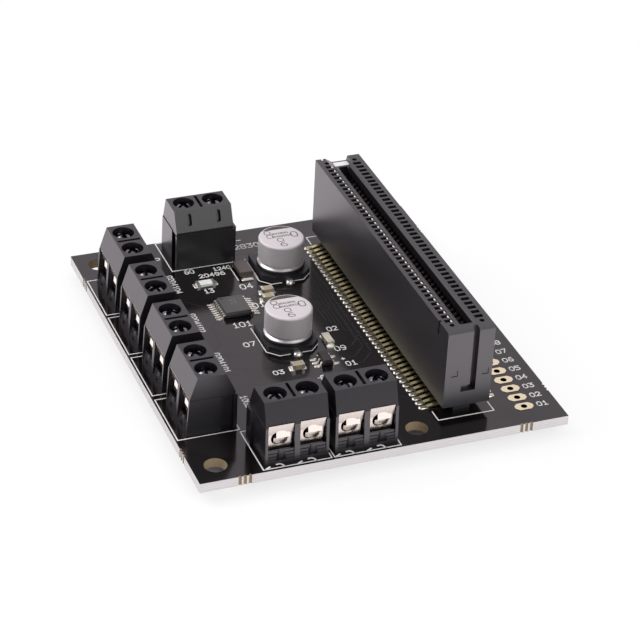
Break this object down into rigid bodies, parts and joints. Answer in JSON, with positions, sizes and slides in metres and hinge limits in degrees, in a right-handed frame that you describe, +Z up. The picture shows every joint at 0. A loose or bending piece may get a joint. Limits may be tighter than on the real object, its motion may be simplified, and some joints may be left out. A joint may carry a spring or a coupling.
{
  "type": "motor driver board",
  "caption": "Black carrier board with two-way screw terminals on three edges, a tall vertical card-edge socket, two can capacitors and a row of plated header holes.",
  "frame": {"origin": "centre of the board's outline in X and Y, at the height of the tips of the terminal pins under the board", "axes": "+X to the edge with the header holes, +Y to the edge with the single power terminal block, +Z up out of the component face"},
  "size_m": [0.0592, 0.0672, 0.0186],
  "materials": {
    "board_laminate": "gloss solder mask over glass-fibre laminate",
    "gold_plating": "gold-plated copper",
    "solder": "bright tin",
    "socket_plastic": "moulded, satin",
    "plated_contact": "gold-flashed and tinned copper alloy",
    "can_aluminium": "drawn, satin",
    "base_plastic": "moulded",
    "chip_epoxy": "moulded epoxy",
    "diode_epoxy": "moulded epoxy",
    "ceramic": "fired ceramic with tinned ends",
    "alumina": "white ceramic with tinned ends",
    "lamp_resin": "clear resin over a pale carrier",
    "terminal_plastic": "moulded, satin",
    "cage_nickel": "bright nickel",
    "screw_nickel": "bright nickel",
    "plate_steel": "bright zinc"
  },
  "bodies": {
    "root": {"circuit_board": "board_laminate", "header_pads": "gold_plating", "solder_joints": "solder", "socket_housing": "socket_plastic", "socket_contacts_left": "plated_contact", "socket_contacts_right": "plated_contact", "capacitor_can_front": "can_aluminium", "capacitor_can_back": "can_aluminium", "capacitor_base_front": "base_plastic", "capacitor_base_back": "base_plastic", "driver_chip": "chip_epoxy", "regulator_chip": "chip_epoxy", "diode": "diode_epoxy", "ceramic_capacitors": "ceramic", "resistor": "alumina", "indicator_lamp": "lamp_resin", "component_leads": "solder", "component_end_caps": "solder", "terminal_housing_left_1": "terminal_plastic", "terminal_housing_left_2": "terminal_plastic", "terminal_housing_left_3": "terminal_plastic", "terminal_housing_left_4": "terminal_plastic", "terminal_housing_front_1": "terminal_plastic", "terminal_housing_front_2": "terminal_plastic", "terminal_housing_power": "terminal_plastic", "terminal_cages_left_1": "cage_nickel", "terminal_cages_left_2": "cage_nickel", "terminal_cages_left_3": "cage_nickel", "terminal_cages_left_4": "cage_nickel", "terminal_cages_front_1": "cage_nickel", "terminal_cages_front_2": "cage_nickel", "terminal_cages_power": "cage_nickel"},
    "clamp_left_1_a": {"pressure_plate_left_1_a": "plate_steel"},
    "screw_left_1_a": {"clamp_screw_left_1_a": "screw_nickel"},
    "clamp_left_1_b": {"pressure_plate_left_1_b": "plate_steel"},
    "screw_left_1_b": {"clamp_screw_left_1_b": "screw_nickel"},
    "clamp_left_2_a": {"pressure_plate_left_2_a": "plate_steel"},
    "screw_left_2_a": {"clamp_screw_left_2_a": "screw_nickel"},
    "clamp_left_2_b": {"pressure_plate_left_2_b": "plate_steel"},
    "screw_left_2_b": {"clamp_screw_left_2_b": "screw_nickel"},
    "clamp_left_3_a": {"pressure_plate_left_3_a": "plate_steel"},
    "screw_left_3_a": {"clamp_screw_left_3_a": "screw_nickel"},
    "clamp_left_3_b": {"pressure_plate_left_3_b": "plate_steel"},
    "screw_left_3_b": {"clamp_screw_left_3_b": "screw_nickel"},
    "clamp_left_4_a": {"pressure_plate_left_4_a": "plate_steel"},
    "screw_left_4_a": {"clamp_screw_left_4_a": "screw_nickel"},
    "clamp_left_4_b": {"pressure_plate_left_4_b": "plate_steel"},
    "screw_left_4_b": {"clamp_screw_left_4_b": "screw_nickel"},
    "clamp_front_1_a": {"pressure_plate_front_1_a": "plate_steel"},
    "screw_front_1_a": {"clamp_screw_front_1_a": "screw_nickel"},
    "clamp_front_1_b": {"pressure_plate_front_1_b": "plate_steel"},
    "screw_front_1_b": {"clamp_screw_front_1_b": "screw_nickel"},
    "clamp_front_2_a": {"pressure_plate_front_2_a": "plate_steel"},
    "screw_front_2_a": {"clamp_screw_front_2_a": "screw_nickel"},
    "clamp_front_2_b": {"pressure_plate_front_2_b": "plate_steel"},
    "screw_front_2_b": {"clamp_screw_front_2_b": "screw_nickel"},
    "clamp_power_a": {"pressure_plate_power_a": "plate_steel"},
    "screw_power_a": {"clamp_screw_power_a": "screw_nickel"},
    "clamp_power_b": {"pressure_plate_power_b": "plate_steel"},
    "screw_power_b": {"clamp_screw_power_b": "screw_nickel"}
  },
  "joints": [
    {"name": "clamp_left_1_a_slide", "type": "slide", "parent": "root", "child": "clamp_left_1_a", "axis": [0, 0, -1], "range_m": [0, 0.0015]},
    {"name": "screw_left_1_a_turn", "type": "hinge", "parent": "clamp_left_1_a", "child": "screw_left_1_a", "pos_m": [-0.02405, 0.02215, 0.0115], "axis": [0, 0, -1], "range_deg": [0, 1200]},
    {"name": "clamp_left_1_b_slide", "type": "slide", "parent": "root", "child": "clamp_left_1_b", "axis": [0, 0, -1], "range_m": [0, 0.0015]},
    {"name": "screw_left_1_b_turn", "type": "hinge", "parent": "clamp_left_1_b", "child": "screw_left_1_b", "pos_m": [-0.02405, 0.01715, 0.0115], "axis": [0, 0, -1], "range_deg": [0, 1200]},
    {"name": "clamp_left_2_a_slide", "type": "slide", "parent": "root", "child": "clamp_left_2_a", "axis": [0, 0, -1], "range_m": [0, 0.0015]},
    {"name": "screw_left_2_a_turn", "type": "hinge", "parent": "clamp_left_2_a", "child": "screw_left_2_a", "pos_m": [-0.02405, 0.01005, 0.0115], "axis": [0, 0, -1], "range_deg": [0, 1200]},
    {"name": "clamp_left_2_b_slide", "type": "slide", "parent": "root", "child": "clamp_left_2_b", "axis": [0, 0, -1], "range_m": [0, 0.0015]},
    {"name": "screw_left_2_b_turn", "type": "hinge", "parent": "clamp_left_2_b", "child": "screw_left_2_b", "pos_m": [-0.02405, 0.00505, 0.0115], "axis": [0, 0, -1], "range_deg": [0, 1200]},
    {"name": "clamp_left_3_a_slide", "type": "slide", "parent": "root", "child": "clamp_left_3_a", "axis": [0, 0, -1], "range_m": [0, 0.0015]},
    {"name": "screw_left_3_a_turn", "type": "hinge", "parent": "clamp_left_3_a", "child": "screw_left_3_a", "pos_m": [-0.02405, -0.00205, 0.0115], "axis": [0, 0, -1], "range_deg": [0, 1200]},
    {"name": "clamp_left_3_b_slide", "type": "slide", "parent": "root", "child": "clamp_left_3_b", "axis": [0, 0, -1], "range_m": [0, 0.0015]},
    {"name": "screw_left_3_b_turn", "type": "hinge", "parent": "clamp_left_3_b", "child": "screw_left_3_b", "pos_m": [-0.02405, -0.00705, 0.0115], "axis": [0, 0, -1], "range_deg": [0, 1200]},
    {"name": "clamp_left_4_a_slide", "type": "slide", "parent": "root", "child": "clamp_left_4_a", "axis": [0, 0, -1], "range_m": [0, 0.0015]},
    {"name": "screw_left_4_a_turn", "type": "hinge", "parent": "clamp_left_4_a", "child": "screw_left_4_a", "pos_m": [-0.02405, -0.01415, 0.0115], "axis": [0, 0, -1], "range_deg": [0, 1200]},
    {"name": "clamp_left_4_b_slide", "type": "slide", "parent": "root", "child": "clamp_left_4_b", "axis": [0, 0, -1], "range_m": [0, 0.0015]},
    {"name": "screw_left_4_b_turn", "type": "hinge", "parent": "clamp_left_4_b", "child": "screw_left_4_b", "pos_m": [-0.02405, -0.01915, 0.0115], "axis": [0, 0, -1], "range_deg": [0, 1200]},
    {"name": "clamp_front_1_a_slide", "type": "slide", "parent": "root", "child": "clamp_front_1_a", "axis": [0, 0, -1], "range_m": [0, 0.0015]},
    {"name": "screw_front_1_a_turn", "type": "hinge", "parent": "clamp_front_1_a", "child": "screw_front_1_a", "pos_m": [-0.0165, -0.0284, 0.0115], "axis": [0, 0, -1], "range_deg": [0, 1200]},
    {"name": "clamp_front_1_b_slide", "type": "slide", "parent": "root", "child": "clamp_front_1_b", "axis": [0, 0, -1], "range_m": [0, 0.0015]},
    {"name": "screw_front_1_b_turn", "type": "hinge", "parent": "clamp_front_1_b", "child": "screw_front_1_b", "pos_m": [-0.0115, -0.0284, 0.0115], "axis": [0, 0, -1], "range_deg": [0, 1200]},
    {"name": "clamp_front_2_a_slide", "type": "slide", "parent": "root", "child": "clamp_front_2_a", "axis": [0, 0, -1], "range_m": [0, 0.0015]},
    {"name": "screw_front_2_a_turn", "type": "hinge", "parent": "clamp_front_2_a", "child": "screw_front_2_a", "pos_m": [-0.0055, -0.0284, 0.0115], "axis": [0, 0, -1], "range_deg": [0, 1200]},
    {"name": "clamp_front_2_b_slide", "type": "slide", "parent": "root", "child": "clamp_front_2_b", "axis": [0, 0, -1], "range_m": [0, 0.0015]},
    {"name": "screw_front_2_b_turn", "type": "hinge", "parent": "clamp_front_2_b", "child": "screw_front_2_b", "pos_m": [-0.0005, -0.0284, 0.0115], "axis": [0, 0, -1], "range_deg": [0, 1200]},
    {"name": "clamp_power_a_slide", "type": "slide", "parent": "root", "child": "clamp_power_a", "axis": [0, 0, -1], "range_m": [0, 0.0015]},
    {"name": "screw_power_a_turn", "type": "hinge", "parent": "clamp_power_a", "child": "screw_power_a", "pos_m": [-0.00675, 0.0286, 0.0115], "axis": [0, 0, -1], "range_deg": [0, 1200]},
    {"name": "clamp_power_b_slide", "type": "slide", "parent": "root", "child": "clamp_power_b", "axis": [0, 0, -1], "range_m": [0, 0.0015]},
    {"name": "screw_power_b_turn", "type": "hinge", "parent": "clamp_power_b", "child": "screw_power_b", "pos_m": [-0.01175, 0.0286, 0.0115], "axis": [0, 0, -1], "range_deg": [0, 1200]}
  ],
  "couplings": [
    {"joint": "screw_left_1_a_turn", "follows": "clamp_left_1_a_slide", "rad_per_m": 13963},
    {"joint": "screw_left_1_b_turn", "follows": "clamp_left_1_b_slide", "rad_per_m": 13963},
    {"joint": "screw_left_2_a_turn", "follows": "clamp_left_2_a_slide", "rad_per_m": 13963},
    {"joint": "screw_left_2_b_turn", "follows": "clamp_left_2_b_slide", "rad_per_m": 13963},
    {"joint": "screw_left_3_a_turn", "follows": "clamp_left_3_a_slide", "rad_per_m": 13963},
    {"joint": "screw_left_3_b_turn", "follows": "clamp_left_3_b_slide", "rad_per_m": 13963},
    {"joint": "screw_left_4_a_turn", "follows": "clamp_left_4_a_slide", "rad_per_m": 13963},
    {"joint": "screw_left_4_b_turn", "follows": "clamp_left_4_b_slide", "rad_per_m": 13963},
    {"joint": "screw_front_1_a_turn", "follows": "clamp_front_1_a_slide", "rad_per_m": 13963},
    {"joint": "screw_front_1_b_turn", "follows": "clamp_front_1_b_slide", "rad_per_m": 13963},
    {"joint": "screw_front_2_a_turn", "follows": "clamp_front_2_a_slide", "rad_per_m": 13963},
    {"joint": "screw_front_2_b_turn", "follows": "clamp_front_2_b_slide", "rad_per_m": 13963},
    {"joint": "screw_power_a_turn", "follows": "clamp_power_a_slide", "rad_per_m": 13963},
    {"joint": "screw_power_b_turn", "follows": "clamp_power_b_slide", "rad_per_m": 13963}
  ]
}
